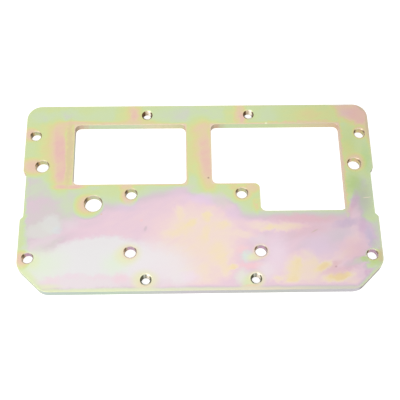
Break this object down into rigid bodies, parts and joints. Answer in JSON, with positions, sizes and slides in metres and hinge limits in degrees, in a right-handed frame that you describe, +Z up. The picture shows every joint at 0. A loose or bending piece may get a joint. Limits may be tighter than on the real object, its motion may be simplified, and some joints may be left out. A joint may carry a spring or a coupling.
{
  "type": "barrier plate",
  "caption": "Flat plated steel barrier plate with a rectangular and an L-shaped window, tapped holes at its long edges and plain bolt holes around them.",
  "frame": {"origin": "middle of the plate's underside, midway between the two sides and between the two long edges", "axes": "+X along the long edges towards the side with the L-shaped window, +Y towards the long edge beside the windows, +Z up through the thickness"},
  "size_m": [0.208, 0.1216, 0.005],
  "materials": {
    "plated_steel": "zinc plate with an iridescent yellow passivation, satin"
  },
  "bodies": {
    "root": {"barrier_plate": "plated_steel"}
  },
  "joints": []
}
